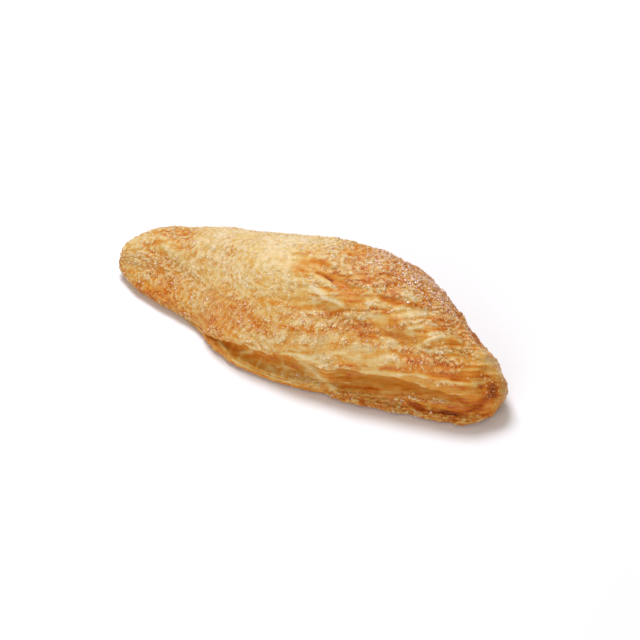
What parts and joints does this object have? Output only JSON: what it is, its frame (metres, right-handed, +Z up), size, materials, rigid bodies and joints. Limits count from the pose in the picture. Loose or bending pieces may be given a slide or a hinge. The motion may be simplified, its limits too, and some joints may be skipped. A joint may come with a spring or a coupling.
{
  "type": "straight croissant",
  "caption": "Straight sugared puff-pastry croissant, folded along its back and puffed open along the front, lying flat on its baked underside.",
  "frame": {"origin": "centre of the box's underside, on the surface that the pastry lies on", "axes": "+X along the pastry towards its narrow end, +Y towards the folded side, -Y towards the open side, +Z up"},
  "size_m": [0.162, 0.063, 0.0411],
  "materials": {
    "baked_crust": "golden baked puff pastry with a rough sugar crust"
  },
  "bodies": {
    "root": {"croissant": "baked_crust"}
  },
  "joints": []
}
